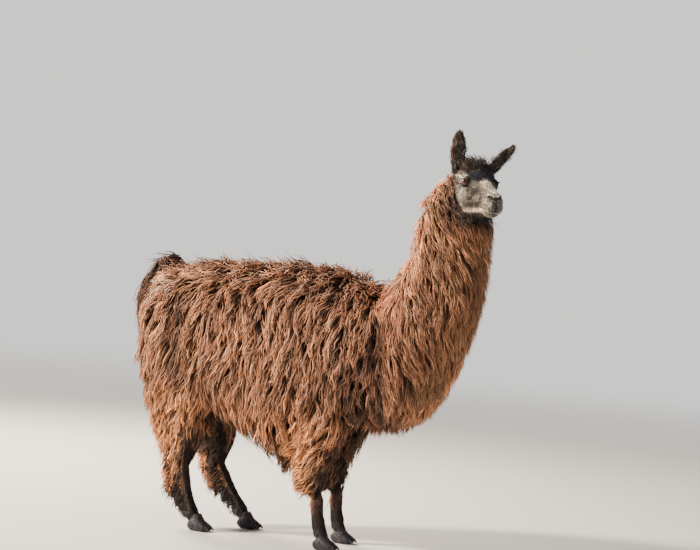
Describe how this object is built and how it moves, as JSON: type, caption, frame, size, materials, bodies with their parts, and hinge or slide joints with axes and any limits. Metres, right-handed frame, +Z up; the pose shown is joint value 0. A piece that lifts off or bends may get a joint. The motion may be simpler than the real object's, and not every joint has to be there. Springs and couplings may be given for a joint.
{
  "type": "llama",
  "caption": "Life-size standing llama in long brown wool, neck upright and head turned to its right, ears up, on two-toed feet.",
  "frame": {"origin": "on the floor, in the middle of the box round the whole llama", "axes": "+X from the tail towards the chest, +Y to the llama's left, +Z up"},
  "size_m": [1.746, 0.5444, 1.7377],
  "materials": {
    "fleece": "long loose wavy wool",
    "short_hair": "short flat hair",
    "eye": "wet and glossy",
    "toenail": "worn horn"
  },
  "bodies": {
    "root": {"trunk": "fleece", "neck": "fleece", "tail": "fleece", "head": "short_hair", "ear_right": "short_hair", "ear_left": "short_hair", "eye_right": "eye", "eye_left": "eye", "foreleg_right_upper": "fleece", "foreleg_right_lower": "short_hair", "foreleg_right_foot": "short_hair", "foreleg_right_nail_outer": "toenail", "foreleg_right_nail_inner": "toenail", "foreleg_left_upper": "fleece", "foreleg_left_lower": "short_hair", "foreleg_left_foot": "short_hair", "foreleg_left_nail_outer": "toenail", "foreleg_left_nail_inner": "toenail", "hindleg_right_upper": "fleece", "hindleg_right_lower": "short_hair", "hindleg_right_foot": "short_hair", "hindleg_right_nail_outer": "toenail", "hindleg_right_nail_inner": "toenail", "hindleg_left_upper": "fleece", "hindleg_left_lower": "short_hair", "hindleg_left_foot": "short_hair", "hindleg_left_nail_outer": "toenail", "hindleg_left_nail_inner": "toenail"}
  },
  "joints": []
}
